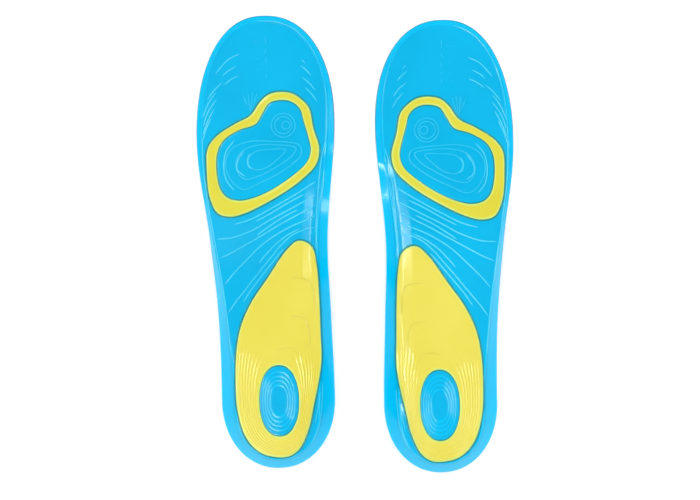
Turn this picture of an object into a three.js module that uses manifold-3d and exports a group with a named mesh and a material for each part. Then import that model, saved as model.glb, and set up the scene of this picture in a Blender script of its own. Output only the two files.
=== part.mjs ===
// A pair of trim-to-fit massaging gel insoles, lying side by side, gel side up, with the toes towards +Y.
// Millimetres, +Z up, with the origin on the surface they lie on, in the middle of the pair's footprint.
// Each insole is a fabric top cover (underneath as it lies here), a gel body moulded on it with a cupped
// heel, and two inlays of a second gel in pockets of the body: a ring round the ball of the foot and a
// leaf-shaped pad from the arch to the heel. Seen from the gel side, the right foot's insole is at -X.
// An insole is drawn in its own frame: heel back at the origin, toes at +Y, the inner (arch) side at +X.
import * as THREE from 'three';
import { mergeVertices } from 'three/addons/utils/BufferGeometryUtils.js';
import Module from 'manifold-3d';

const wasm = await Module();
wasm.setup();

// Plan of the sole. Widths are edge to edge, and swings are how far the middle leans to the outer side (-X).
const SOLE_LENGTH = 295;
const HEEL_WIDTH = 73.8;
const HEEL_ROUND = 45; // length of the heel's curve, from its back to its full width
const HEEL_SQUARENESS = 2.1; // exponent of the superellipse, 2 is a true ellipse
const SHANK_WIDTH = 73.4;
const SHANK_SWING = -1.4;
const WAIST_WIDTH = 76.8;
const WAIST_SWING = -4.5;
const BALL_WIDTH = 89.6;
const BALL_SWING = -5.5;
const TOE_SQUARENESS = 2.25;

// Stations along the sole are shares of its length, as an insole is graded.
const SHANK_AT = 0.34 * SOLE_LENGTH;
const WAIST_AT = 0.51 * SOLE_LENGTH;
const OUTER_BALL_AT = 0.722 * SOLE_LENGTH;
const INNER_BALL_AT = 0.763 * SOLE_LENGTH;
const HEEL_LEVEL_TO = 0.3 * SOLE_LENGTH; // behind this the heel's gel face is level
const FOREFOOT_LEVEL_FROM = 0.72 * SOLE_LENGTH; // in front of this the foot side lies on the ground
const LIFTED_FROM = 0.16 * SOLE_LENGTH; // between these the rim arches off the ground a little
const LIFTED_TO = 0.7 * SOLE_LENGTH;

// Thicknesses and heights.
const COVER_THICKNESS = 0.9;
const BOND_GAP = 0.3; // the glue line between the cover and the gel
const GEL_AT_HEEL = 6.5;
const GEL_AT_WAIST = 5.2;
const GEL_AT_BALL = 3.8;
const GEL_AT_TOE = 2.4;
const CUP_DEPTH = 8.5; // how far the heel sinks below the rim
const WAIST_LIFT = 1.5;
const EDGE_THICKNESS = 1.6;
const LIP_WIDTH = 2; // flat end of the rim, on the foot side
const CUP_SPREAD = 0.85; // run of the cup's inner wall over the run of its outer wall
const CREASE_ROUNDING = 0.12; // half of the rounded stretch between wall and face, over the wall's run

// How far in from the edge the crease between the rim's wall and the flat face lies.
const CREASE_AT_BACK = 7.2;
const CREASE_AT_HEEL = 9.8;
const CREASE_AT_OUTER_SHANK = 6;
const CREASE_AT_INNER_SHANK = 6.8;
const CREASE_AT_OUTER_WAIST = 2.6;
const CREASE_AT_INNER_WAIST = 6.8;
const CREASE_AT_OUTER_BALL = 3.2;
const CREASE_AT_INNER_BALL = 4.5;
const CREASE_AT_TOE = 3;

// Inlays: how deep each sits, how far it stands out of the face, and the clearance all round it.
const RING_DEPTH = 1.6;
const PAD_DEPTH = 2.4;
const INLAY_PROUD = 0.4;
const INLAY_GAP = 0.3;
const POCKET_OVERRUN = 3; // how far the pocket's cut runs out of the face

// Inlay outlines as [share across, share along]: across from -1, the outer edge, to 1, the inner edge,
// and along from 0, the heel's back, to 1, the toe.
const RING_OUTER_EDGE = [
  [0.23, 0.831], [0.4, 0.827], [0.54, 0.813], [0.64, 0.794], [0.7, 0.75], [0.79, 0.705], [0.76, 0.671],
  [0.54, 0.635], [0.09, 0.593], [-0.38, 0.563], [-0.61, 0.557], [-0.8, 0.565], [-0.89, 0.6], [-0.88, 0.66],
  [-0.84, 0.708], [-0.71, 0.735], [-0.44, 0.762], [-0.22, 0.78], [-0.08, 0.81], [0.05, 0.826],
];
const RING_INNER_EDGE = [
  [0.27, 0.813], [0.41, 0.807], [0.51, 0.792], [0.56, 0.765], [0.63, 0.73], [0.67, 0.7], [0.62, 0.675],
  [0.4, 0.644], [0.02, 0.61], [-0.27, 0.595], [-0.43, 0.592], [-0.6, 0.598], [-0.7, 0.615], [-0.735, 0.655],
  [-0.7, 0.7], [-0.6, 0.727], [-0.38, 0.748], [-0.14, 0.761], [-0.04, 0.785], [0.06, 0.807],
];
const PAD_EDGE = [
  [0.49, 0.501], [0.64, 0.498], [0.75, 0.484], [0.8, 0.45], [0.81, 0.38], [0.8, 0.3], [0.79, 0.24],
  [0.72, 0.19], [0.63, 0.14], [0.58, 0.09], [0.5, 0.047], [0.29, 0.03], [-0.17, 0.03], [-0.48, 0.041],
  [-0.65, 0.072], [-0.71, 0.13], [-0.73, 0.2], [-0.7, 0.26], [-0.6, 0.315], [-0.39, 0.367], [-0.05, 0.423],
  [0.29, 0.48],
];

// The oval island of body gel that stands in the middle of the heel.
const EYE_WIDTH = 25.6;
const EYE_LENGTH = 46;
const EYE_AT = 0.152 * SOLE_LENGTH;
const EYE_SWING = 1;
const EYE_SQUARENESS = 2.2;

// How the two insoles lie.
const GAP_BETWEEN = 27.2; // between the inner sides of the balls
const HEEL_STAGGER = 2.9; // the left foot's insole lies this much further back
const TURN = THREE.MathUtils.degToRad(1);

// Facets.
const HEEL_STEPS = 6;
const SIDE_STEPS = 11;
const TOE_STEPS = 7;
const RING_STEPS = 44;
const PAD_STEPS = 44;
const PAD_BANDS = 5;
// Where the rounding of the crease starts and ends, as shares of the wall's run.
const WALL_TOP = 1 - CREASE_ROUNDING;
const FACE_START = 1 + CREASE_ROUNDING;

const WELD = 1e-4;
const flat = (x, y) => new THREE.Vector2(x, y);
const placed = (point, z) => new THREE.Vector3(point.x, point.y, z);

/** How wide a superellipse is, over its full width, at a share of its half length. */
const bow = (share, squareness) => Math.max(0, 1 - share ** squareness) ** (1 / squareness);

/** The value at a station on a smooth curve through [station, value] pairs, which is level at both ends. */
function through(pairs, station) {
  const last = pairs.length - 1;
  const at = THREE.MathUtils.clamp(station, pairs[0][0], pairs[last][0]);
  const slope = (i) => {
    if (i === 0 || i === last) return 0;
    return (pairs[i + 1][1] - pairs[i - 1][1]) / (pairs[i + 1][0] - pairs[i - 1][0]);
  };
  const next = Math.max(1, pairs.findIndex(([knot]) => knot >= at));
  const [from, low] = pairs[next - 1];
  const [to, high] = pairs[next];
  const run = to - from;
  const t = (at - from) / run;
  const ease = t * t * (3 - 2 * t);
  const leave = t * (1 - t) ** 2 * run * slope(next - 1);
  const arrive = t * t * (t - 1) * run * slope(next);
  return low + (high - low) * ease + leave + arrive;
}

/** x of the sole's edge at y. The side is -1 for the outer edge and 1 for the inner. */
function soleEdge(side, y) {
  const ballAt = side < 0 ? OUTER_BALL_AT : INNER_BALL_AT;
  if (y < HEEL_ROUND) return side * (HEEL_WIDTH / 2) * bow(1 - y / HEEL_ROUND, HEEL_SQUARENESS);
  if (y > ballAt) {
    return BALL_SWING + side * (BALL_WIDTH / 2) * bow((y - ballAt) / (SOLE_LENGTH - ballAt), TOE_SQUARENESS);
  }
  const stations = [
    [HEEL_ROUND, side * (HEEL_WIDTH / 2)],
    [SHANK_AT, SHANK_SWING + side * (SHANK_WIDTH / 2)],
    [WAIST_AT, WAIST_SWING + side * (WAIST_WIDTH / 2)],
    [ballAt, BALL_SWING + side * (BALL_WIDTH / 2)],
  ];
  return through(stations, y);
}

/** A point given as shares across and along the sole. */
function inSole([across, along]) {
  const y = along * SOLE_LENGTH;
  const outer = soleEdge(-1, y);
  const inner = soleEdge(1, y);
  return flat((outer + inner) / 2 + (across * (inner - outer)) / 2, y);
}

/** How far in from the edge the crease lies at y. The side is -1 for the outer edge and 1 for the inner. */
function creaseInset(side, y) {
  const stations = [
    [0, CREASE_AT_BACK],
    [HEEL_ROUND, CREASE_AT_HEEL],
    [SHANK_AT, side < 0 ? CREASE_AT_OUTER_SHANK : CREASE_AT_INNER_SHANK],
    [WAIST_AT, side < 0 ? CREASE_AT_OUTER_WAIST : CREASE_AT_INNER_WAIST],
    [INNER_BALL_AT, side < 0 ? CREASE_AT_OUTER_BALL : CREASE_AT_INNER_BALL],
    [SOLE_LENGTH, CREASE_AT_TOE],
  ];
  return through(stations, y);
}

function gelThickness(y) {
  const stations = [
    [HEEL_LEVEL_TO, GEL_AT_HEEL],
    [WAIST_AT, GEL_AT_WAIST],
    [FOREFOOT_LEVEL_FROM, GEL_AT_BALL],
    [SOLE_LENGTH, GEL_AT_TOE],
  ];
  return through(stations, y);
}

/** Height of the gel's foot side inside the rim: up over the heel cup, down on the cover at the forefoot. */
function footSide(y) {
  const sunk = 1 - THREE.MathUtils.smootherstep(y, HEEL_LEVEL_TO, FOREFOOT_LEVEL_FROM);
  return COVER_THICKNESS + BOND_GAP + CUP_DEPTH * sunk;
}

const gelSide = (y) => footSide(y) + gelThickness(y);

/** Height of the gel's foot side at the very edge. */
function edgeFoot(y) {
  const share = THREE.MathUtils.clamp((y - LIFTED_FROM) / (LIFTED_TO - LIFTED_FROM), 0, 1);
  return COVER_THICKNESS + BOND_GAP + WAIST_LIFT * Math.sin(Math.PI * share) ** 2;
}

/** How far up the rim's wall a point is, 0 at the edge and 1 on the face, with a rounded crease between. */
function wallShare(run) {
  const past = run - 1 + CREASE_ROUNDING;
  if (past <= 0) return Math.max(0, run);
  return past >= 2 * CREASE_ROUNDING ? 1 : run - past ** 2 / (4 * CREASE_ROUNDING);
}

/** Height of the gel side at y, a share of the way up the rim's outer wall. */
function outerWall(y, share) {
  const edge = edgeFoot(y) + EDGE_THICKNESS;
  return edge + (gelSide(y) - edge) * wallShare(share);
}

/** Height of the foot side at y, a share of the way up the cup's inner wall. */
const innerWall = (y, share) => edgeFoot(y) + (footSide(y) - edgeFoot(y)) * wallShare(share);

/**
 * Columns anticlockwise round the sole from the heel's back, each from a point on the edge to one on the
 * spine, with how far in the crease lies there.
 */
function soleColumns() {
  const heelFoot = flat(0, HEEL_ROUND);
  const toeFoot = flat(BALL_SWING, (OUTER_BALL_AT + INNER_BALL_AT) / 2);
  const halfColumns = (side) => {
    const ballAt = side < 0 ? OUTER_BALL_AT : INNER_BALL_AT;
    const half = [];
    const add = (y, foot) => {
      half.push({ edge: flat(soleEdge(side, y), y), foot, crease: creaseInset(side, y) });
    };
    for (let i = 0; i < HEEL_STEPS; i++) {
      const angle = (Math.PI / 2) * (i / HEEL_STEPS);
      add(HEEL_ROUND * (1 - Math.cos(angle) ** (2 / HEEL_SQUARENESS)), heelFoot);
    }
    for (let i = 0; i <= SIDE_STEPS; i++) {
      const share = i / SIDE_STEPS;
      add(THREE.MathUtils.lerp(HEEL_ROUND, ballAt, share), heelFoot.clone().lerp(toeFoot, share));
    }
    for (let i = 1; i <= TOE_STEPS; i++) {
      const angle = (Math.PI / 2) * (i / TOE_STEPS);
      add(THREE.MathUtils.lerp(ballAt, SOLE_LENGTH, Math.sin(angle) ** (2 / TOE_SQUARENESS)), toeFoot);
    }
    return half;
  };
  const inner = halfColumns(1);
  const outer = halfColumns(-1).slice(1, -1);
  return [...inner, ...outer.reverse()];
}

const columns = soleColumns();

/** The point of a column a distance in from the edge. */
const inFrom = ({ edge, foot }, distance) =>
  edge.clone().addScaledVector(foot.clone().sub(edge).normalize(), distance);

/** Loops round the sole: at a share of the way up the rim's outer wall, or up the cup's inner wall. */
const outerWallLoop = (share) =>
  columns.map((column) => placed(inFrom(column, column.crease * share), outerWall(column.edge.y, share)));
const innerWallLoop = (share, drop = 0) =>
  columns.map((column) => {
    const inset = LIP_WIDTH + column.crease * CUP_SPREAD * share;
    return placed(inFrom(column, inset), innerWall(column.edge.y, share) - drop);
  });
const edgeLoop = (drop = 0) => columns.map(({ edge }) => placed(edge, edgeFoot(edge.y) - drop));

/** The loops from another loop to the spine, that one left out, at heights that depend only on y. */
const loopsToSpine = (loop, height) =>
  [0.5, 1].map((share) =>
    loop.map((start, i) => {
      const point = flat(start.x, start.y).lerp(columns[i].foot, share);
      return placed(point, height(point.y));
    }),
  );

/**
 * A closed mesh from loops with as many points each, anticlockwise: the top's go outwards, and the bottom's
 * back inwards. Both cut their quads along the same diagonal, so that faces that lie on each other stay
 * parallel.
 */
function shell(top, bottom, closesOnItself = false) {
  const loops = [...top, ...bottom];
  const count = loops[0].length;
  const geometry = new THREE.BufferGeometry().setFromPoints(loops.flat());
  const index = [];
  const stacks = closesOnItself ? loops.length : loops.length - 1;
  for (let j = 0; j < stacks; j++) {
    const a = j * count;
    const b = ((j + 1) % loops.length) * count;
    const outwards = j < top.length;
    for (let i = 0; i < count; i++) {
      const next = (i + 1) % count;
      if (outwards) index.push(a + i, b + i, b + next, a + i, b + next, a + next);
      else index.push(a + i, b + i, a + next, b + i, b + next, a + next);
    }
  }
  geometry.setIndex(index);
  return welded(geometry);
}

/** The geometry with its shared points merged and the triangles that this closes up left out. */
function welded(geometry) {
  const merged = mergeVertices(geometry, WELD);
  const { array } = merged.index;
  const kept = [];
  for (let i = 0; i < array.length; i += 3) {
    const [a, b, c] = array.slice(i, i + 3);
    if (a !== b && b !== c && c !== a) kept.push(a, b, c);
  }
  merged.setIndex(kept);
  return merged;
}

function solidOf(geometry) {
  return new wasm.Manifold(
    new wasm.Mesh({
      numProp: 3,
      vertProperties: Float32Array.from(geometry.getAttribute('position').array),
      triVerts: Uint32Array.from(geometry.index.array),
    }),
  );
}

function geometryOf(solid) {
  const { numProp, vertProperties, triVerts } = solid.getMesh();
  const geometry = new THREE.BufferGeometry();
  const positions = new Float32Array((vertProperties.length / numProp) * 3);
  for (let i = 0; i < positions.length; i++) {
    positions[i] = vertProperties[Math.floor(i / 3) * numProp + (i % 3)];
  }
  geometry.setAttribute('position', new THREE.BufferAttribute(positions, 3));
  geometry.setIndex(Array.from(triVerts));
  return welded(geometry);
}

/** A smooth closed loop through points given as shares of the sole, as evenly spaced points. */
function smoothLoop(shares, steps) {
  const knots = shares.map((share) => placed(inSole(share), 0));
  const curve = new THREE.CatmullRomCurve3(knots, true, 'centripetal');
  const points = curve.getSpacedPoints(steps).slice(0, -1).map(({ x, y }) => flat(x, y));
  const turn = points.reduce((sum, p, i) => sum + p.cross(points[(i + 1) % steps]), 0);
  return turn > 0 ? points : [points[0], ...points.slice(1).reverse()];
}

/** The loop moved outwards by a distance, or inwards by a negative one. */
function grown(loop, distance) {
  return loop.map((point, i) => {
    const along = loop[(i + 1) % loop.length].clone().sub(loop.at(i - 1)).normalize();
    return flat(point.x + along.y * distance, point.y - along.x * distance);
  });
}

/** The heel island's edge, one point in the direction of each point of the loop round it. */
function eyeLoop(around, margin) {
  const middle = flat(EYE_SWING, EYE_AT);
  return around.map((point) => {
    const ray = point.clone().sub(middle).normalize();
    const wide = Math.abs(ray.x) / (EYE_WIDTH / 2 + margin);
    const long = Math.abs(ray.y) / (EYE_LENGTH / 2 + margin);
    const reach = (wide ** EYE_SQUARENESS + long ** EYE_SQUARENESS) ** (-1 / EYE_SQUARENESS);
    return middle.clone().addScaledVector(ray, reach);
  });
}

/** A band between two loops, in steps across, from one height above the gel side to another. */
function band(inner, outer, steps, low, high) {
  const rows = [];
  for (let i = 0; i <= steps; i++) {
    rows.push(inner.map((point, k) => point.clone().lerp(outer[k], i / steps)));
  }
  const at = (row, lift) => row.map((point) => placed(point, gelSide(point.y) + lift));
  const top = rows.map((row) => at(row, high));
  const bottom = rows.map((row) => at(row, low)).reverse();
  return shell(top, bottom, true);
}

function ringBand(margin, low, high) {
  const outer = grown(smoothLoop(RING_OUTER_EDGE, RING_STEPS), margin);
  const inner = grown(smoothLoop(RING_INNER_EDGE, RING_STEPS), -margin);
  return band(inner, outer, 1, low, high);
}

function padBand(margin, low, high) {
  const edge = smoothLoop(PAD_EDGE, PAD_STEPS);
  return band(eyeLoop(edge, -margin), grown(edge, margin), PAD_BANDS, low, high);
}

const forefootRing = () => ringBand(0, -RING_DEPTH, INLAY_PROUD);
const heelPad = () => padBand(0, -PAD_DEPTH, INLAY_PROUD);

/** The loops of a face that runs a distance below the gel's foot side, from the edge to the spine. */
function footSideLoops(drop) {
  const wall = [0, WALL_TOP, 1, FACE_START].map((share) => innerWallLoop(share, drop));
  return [edgeLoop(drop), ...wall, ...loopsToSpine(wall.at(-1), (y) => footSide(y) - drop)];
}

/** The moulded gel body, with its pockets for the two inlays. */
function gelBody() {
  const wall = [0, WALL_TOP, 1, FACE_START].map(outerWallLoop);
  const top = [...wall, ...loopsToSpine(wall.at(-1), gelSide)].reverse();
  const whole = shell(top, footSideLoops(0));
  const ringPocket = ringBand(INLAY_GAP, -RING_DEPTH - INLAY_GAP, POCKET_OVERRUN);
  const padPocket = padBand(INLAY_GAP, -PAD_DEPTH - INLAY_GAP, POCKET_OVERRUN);
  return geometryOf(solidOf(whole).subtract(solidOf(ringPocket)).subtract(solidOf(padPocket)));
}

/** The fabric top cover, which follows the gel's foot side from edge to edge. */
const topCover = () => shell(footSideLoops(BOND_GAP).reverse(), footSideLoops(BOND_GAP + COVER_THICKNESS));

/** The same piece for the other foot. */
function mirrored(geometry) {
  const other = geometry.clone().scale(-1, 1, 1);
  const { array } = other.index;
  for (let i = 0; i < array.length; i += 3) [array[i], array[i + 1]] = [array[i + 1], array[i]];
  return other;
}

const bodyGel = new THREE.MeshStandardMaterial({ color: '#1ab3e6', roughness: 0.25, metalness: 0 });
const inlayGel = new THREE.MeshStandardMaterial({ color: '#f0e455', roughness: 0.25, metalness: 0 });
const coverFabric = new THREE.MeshStandardMaterial({ color: '#3e6e8a', roughness: 0.95, metalness: 0 });

const pieces = [
  ['gel_body', gelBody(), bodyGel],
  ['forefoot_ring', forefootRing(), inlayGel],
  ['heel_pad', heelPad(), inlayGel],
  ['top_cover', topCover(), coverFabric],
];

/** One foot's insole. The side is -1 for the right foot, at -X, and 1 for the left. */
function insole(foot, side) {
  const group = new THREE.Group();
  for (const [name, geometry, material] of pieces) {
    const mesh = new THREE.Mesh(side < 0 ? geometry : mirrored(geometry), material.clone());
    mesh.name = `${foot}_${name}`;
    group.add(mesh);
  }
  const innerBall = BALL_SWING + BALL_WIDTH / 2;
  group.position.set(side * (innerBall + GAP_BETWEEN / 2), (-side * HEEL_STAGGER) / 2, 0);
  group.rotation.z = TURN;
  return group;
}

const pair = new THREE.Group();
pair.add(insole('right', -1), insole('left', 1));
const footprint = new THREE.Box3().setFromObject(pair, true).getCenter(new THREE.Vector3());
pair.position.set(-footprint.x, -footprint.y, 0);
pair.updateMatrixWorld(true);

export default pair;
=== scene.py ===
# A pair of massaging gel insoles, lying gel side up with the toes towards +Y. Each one is a blue moulded
# gel body with a cupped heel, a yellow ring and a yellow pad cast into pockets of it, islands of the blue
# gel inside those, fine raised lines on its face, and a fabric cover underneath.
# Every piece is drawn in millimetres in an insole's own frame: heel back at the origin, toes at +Y, the
# inner (arch) side at +X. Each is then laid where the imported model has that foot's insole.
import math

import bmesh
import bpy
from mathutils import Matrix, Vector


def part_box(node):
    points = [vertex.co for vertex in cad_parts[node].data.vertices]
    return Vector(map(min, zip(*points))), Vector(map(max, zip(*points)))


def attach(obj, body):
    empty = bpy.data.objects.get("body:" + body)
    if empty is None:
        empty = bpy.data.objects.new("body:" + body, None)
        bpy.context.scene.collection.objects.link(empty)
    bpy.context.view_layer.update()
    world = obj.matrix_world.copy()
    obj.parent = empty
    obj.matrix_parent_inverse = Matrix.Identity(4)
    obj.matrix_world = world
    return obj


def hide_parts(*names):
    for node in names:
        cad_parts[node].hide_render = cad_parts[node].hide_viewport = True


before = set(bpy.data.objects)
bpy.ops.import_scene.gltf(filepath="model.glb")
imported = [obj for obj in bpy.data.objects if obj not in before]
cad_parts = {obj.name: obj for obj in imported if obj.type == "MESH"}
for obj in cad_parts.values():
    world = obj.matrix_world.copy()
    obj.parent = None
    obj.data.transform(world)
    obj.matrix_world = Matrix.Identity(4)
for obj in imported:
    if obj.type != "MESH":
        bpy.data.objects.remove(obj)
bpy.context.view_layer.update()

MM = 0.001
TURN = math.radians(1)

# Plan of the sole.
SOLE_LENGTH = 295
HEEL_WIDTH = 73.8
HEEL_ROUND = 45
HEEL_SQUARENESS = 2.1
SHANK_WIDTH = 73.4
SHANK_SWING = -1.4
WAIST_WIDTH = 76.8
WAIST_SWING = -4.5
BALL_WIDTH = 89.6
BALL_SWING = -5.5
TOE_SQUARENESS = 2.25
SHANK_AT = 0.34 * SOLE_LENGTH
WAIST_AT = 0.51 * SOLE_LENGTH
OUTER_BALL_AT = 0.722 * SOLE_LENGTH
INNER_BALL_AT = 0.763 * SOLE_LENGTH
HEEL_LEVEL_TO = 0.3 * SOLE_LENGTH
FOREFOOT_LEVEL_FROM = 0.72 * SOLE_LENGTH
LIFTED_FROM = 0.16 * SOLE_LENGTH
LIFTED_TO = 0.7 * SOLE_LENGTH

# Thicknesses and heights.
COVER_THICKNESS = 0.9
BOND_GAP = 0.3
GEL_AT_HEEL = 6.5
GEL_AT_WAIST = 5.2
GEL_AT_BALL = 3.8
GEL_AT_TOE = 2.4
CUP_DEPTH = 8.5
WAIST_LIFT = 1.5
EDGE_THICKNESS = 1.6
EDGE_ROUND = 0.5
LIP_WIDTH = 2
CUP_SPREAD = 0.85
CREASE_ROUNDING = 0.12
COVER_SHORT_AT_HEEL = 0.3
COVER_OUT_AT_TOE = 0.4
COVER_WIDENS_AT = 1.5

# How far in from the edge the crease between the rim's wall and the face lies.
CREASE_AT_BACK = 7.2
CREASE_AT_HEEL = 9.8
CREASE_AT_OUTER_SHANK = 6
CREASE_AT_INNER_SHANK = 6.8
CREASE_AT_OUTER_WAIST = 2.6
CREASE_AT_INNER_WAIST = 6.8
CREASE_AT_OUTER_BALL = 3.2
CREASE_AT_INNER_BALL = 4.5
CREASE_AT_TOE = 3
CREASE_RIDGE = 0.22
CREASE_RIDGE_WIDTH = 0.55

# The strip along the arch where the face falls away towards the inner edge.
FLANK_WIDTH = 10.5
FLANK_SHELF = 6.5
FLANK_SLOPE = 0.14
FLANK_STEEP = 0.3
FLANK_FROM = 20
FLANK_DEEPENS_OVER = 35
FLANK_TO = 215
FLANK_DIES_OVER = 25

# Inlays.
RING_DEPTH = 1.6
PAD_DEPTH = 2.4
POCKET_GAP = 0.3
POCKET_FLARE = 0.55
POCKET_LIP = 0.06
POCKET_OVERRUN = 3
INLAY_PROUD = 0.4
# How an inlay's edge is rounded: distance in from its side, and height over the gel side.
INLAY_SHOULDER = [(0.0, -0.35), (0.0, 0.0), (0.1, 0.14), (0.28, 0.26), (0.55, 0.35), (0.9, INLAY_PROUD)]
SHOULDER_FADE = 0.5
RING_OUTER_EDGE = [
    (0.23, 0.831), (0.4, 0.827), (0.54, 0.813), (0.64, 0.794), (0.7, 0.75), (0.79, 0.705), (0.76, 0.671),
    (0.54, 0.635), (0.09, 0.593), (-0.38, 0.563), (-0.61, 0.557), (-0.8, 0.565), (-0.89, 0.6), (-0.88, 0.66),
    (-0.84, 0.708), (-0.71, 0.735), (-0.44, 0.762), (-0.22, 0.78), (-0.08, 0.81), (0.05, 0.826),
]
RING_INNER_EDGE = [
    (0.27, 0.813), (0.41, 0.807), (0.51, 0.792), (0.56, 0.765), (0.63, 0.73), (0.67, 0.7), (0.62, 0.675),
    (0.4, 0.644), (0.02, 0.61), (-0.27, 0.595), (-0.43, 0.592), (-0.6, 0.598), (-0.7, 0.615), (-0.735, 0.655),
    (-0.7, 0.7), (-0.6, 0.727), (-0.38, 0.748), (-0.14, 0.761), (-0.04, 0.785), (0.06, 0.807),
]
PAD_EDGE = [
    (0.49, 0.501), (0.64, 0.498), (0.75, 0.484), (0.8, 0.45), (0.81, 0.38), (0.8, 0.3), (0.79, 0.24),
    (0.72, 0.19), (0.63, 0.14), (0.58, 0.09), (0.5, 0.047), (0.29, 0.03), (-0.17, 0.03), (-0.48, 0.041),
    (-0.65, 0.072), (-0.71, 0.13), (-0.73, 0.2), (-0.7, 0.26), (-0.6, 0.315), (-0.39, 0.367), (-0.05, 0.423),
    (0.29, 0.48),
]
EYE_WIDTH = 25.6
EYE_LENGTH = 46
EYE_AT = 0.152 * SOLE_LENGTH
EYE_SWING = 1
EYE_SQUARENESS = 2.2
BALL_ISLAND_MIDDLE = (6.7, 203.5)
RING_CROWN = 0.05
RING_CROWN_SHARES = (0.3, 0.4, 0.5, 0.6, 0.7)

# The ripples round the back of the pad, between two shares of its width, and the ovals on the heel's island.
PAD_RIPPLES = 7
RIPPLE_HEIGHT = 0.18
RIPPLES_START = 0.14
RIPPLES_END = 0.9
RIPPLE_EDGE = 0.1
RIPPLES_TO = 58
RIPPLE_FADE = 35
EYE_OVALS = (0.47, 0.61, 0.74, 0.87)
OVAL_WIDTH = 0.02
OVAL_HEIGHT = 0.1
# How strongly a painted highlight shows along the ovals' crests.
OVAL_HIGHLIGHT = 0.9

# An island's edge and top: share out from its middle, and height over the gel side.
ISLAND_SHOULDER = [(1.0, -0.35), (1.0, -0.12), (0.995, 0.0), (0.98, 0.08)]
ISLAND_TOP_SHARE = 0.96
ISLAND_PROUD = 0.1

# How much painted light shows on the rim's wall, as light coming through the thin gel: falling from the edge
# up to a share of the way; and then a full painted highlight line within a share of the way of the crease.
LIGHT_THROUGH_AT_EDGE = 0.75
LIGHT_THROUGH_UP_WALL = 0.35
LIGHT_THROUGH_WALL_TO = 0.8
CREASE_HIGHLIGHT_WIDTH = 0.1

# Raised lines, as (share across, share along). These ribs fan out from the arch.
FAN_RIBS = [
    [(0.77, 0.632), (0.45, 0.603), (0.09, 0.575), (-0.28, 0.55), (-0.55, 0.54)],
    [(0.6, 0.604), (0.35, 0.586), (0.06, 0.563), (-0.2, 0.545)],
    [(0.78, 0.602), (0.41, 0.574), (0.04, 0.548), (-0.25, 0.527), (-0.6, 0.511), (-0.88, 0.508)],
    [(0.5, 0.57), (0.25, 0.553), (0.0, 0.532), (-0.2, 0.514)],
    [(0.79, 0.582), (0.6, 0.566), (0.26, 0.542), (-0.06, 0.518), (-0.41, 0.493), (-0.68, 0.475),
     (-0.86, 0.466)],
    [(0.79, 0.557), (0.62, 0.546), (0.37, 0.532), (0.09, 0.512), (-0.15, 0.49), (-0.39, 0.462),
     (-0.62, 0.435), (-0.82, 0.408)],
    [(0.55, 0.529), (0.36, 0.517), (0.14, 0.497), (-0.06, 0.472), (-0.2, 0.452)],
    [(0.79, 0.531), (0.64, 0.527), (0.42, 0.515), (0.23, 0.495), (0.04, 0.468), (-0.19, 0.436),
     (-0.44, 0.4), (-0.66, 0.369), (-0.81, 0.345)],
    [(0.26, 0.486), (0.1, 0.463), (-0.13, 0.43), (-0.36, 0.397), (-0.53, 0.368)],
]
# Strokes down both sides of the toe.
TRIM_MARKS = [
    [(-0.49, 0.889), (-0.6, 0.881), (-0.7, 0.868)],
    [(-0.42, 0.869), (-0.54, 0.861), (-0.66, 0.847)],
    [(-0.67, 0.855), (-0.77, 0.84), (-0.87, 0.817)],
    [(-0.47, 0.917), (-0.66, 0.904), (-0.82, 0.872)],
    [(-0.75, 0.833), (-0.85, 0.808), (-0.92, 0.775)],
    [(-0.73, 0.818), (-0.84, 0.79), (-0.91, 0.756)],
    [(-0.75, 0.798), (-0.84, 0.769), (-0.91, 0.738)],
    [(-0.79, 0.776), (-0.86, 0.752), (-0.91, 0.725)],
    [(0.62, 0.902), (0.65, 0.898), (0.68, 0.893)],
    [(0.58, 0.889), (0.66, 0.879), (0.73, 0.865)],
    [(0.57, 0.863), (0.67, 0.851), (0.76, 0.832)],
    [(0.6, 0.841), (0.69, 0.826), (0.77, 0.806)],
]
# A broken line up the middle of the toe, with short dashes beside it.
SCALE_MARKS = [
    [(0.0, 0.958), (0.01, 0.936)],
    [(0.02, 0.929), (-0.02, 0.915)],
    [(0.01, 0.908), (0.01, 0.893)],
    [(0.01, 0.887), (0.01, 0.878)],
    [(0.01, 0.873), (0.01, 0.859)],
    [(-0.11, 0.945), (-0.17, 0.941)],
    [(-0.2, 0.943), (-0.24, 0.943)],
    [(-0.12, 0.905), (-0.19, 0.905)],
    [(-0.12, 0.881), (-0.16, 0.881)],
    [(-0.12, 0.863), (-0.17, 0.863)],
]
# The short fan of lines above the ring's notch.
NOTCH_FAN = [
    [(-0.13, 0.83), (-0.2, 0.79)],
    [(-0.2, 0.834), (-0.22, 0.784)],
    [(-0.27, 0.832), (-0.23, 0.79)],
    [(-0.34, 0.826), (-0.27, 0.8)],
]
# Faint arcs across the pad, in front of its ripples.
PAD_ARCS = [
    [(0.71, 0.35), (0.715, 0.39), (0.66, 0.413), (0.52, 0.42), (0.33, 0.421)],
    [(0.6, 0.27), (0.6, 0.305), (0.54, 0.328), (0.4, 0.335), (0.28, 0.335)],
    [(0.36, 0.262), (0.26, 0.267), (0.1, 0.266), (-0.02, 0.262)],
]
# Lines that run along the crease, down the outer side and along the ball's inner side.
CREASE_LINES = [
    [(-0.915, 0.733), (-0.925, 0.668), (-0.93, 0.597), (-0.925, 0.551), (-0.89, 0.47), (-0.85, 0.39),
     (-0.82, 0.32), (-0.795, 0.26)],
    [(0.88, 0.72), (0.83, 0.68), (0.812, 0.626), (0.805, 0.56), (0.81, 0.515), (0.828, 0.476)],
]
# Two short lines beside the crease, at the heel's inner corner.
HEEL_CORNER_LINES = [
    [(0.79, 0.19), (0.775, 0.15), (0.765, 0.1), (0.73, 0.055)],
    [(0.745, 0.17), (0.71, 0.135), (0.68, 0.1)],
]
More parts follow.
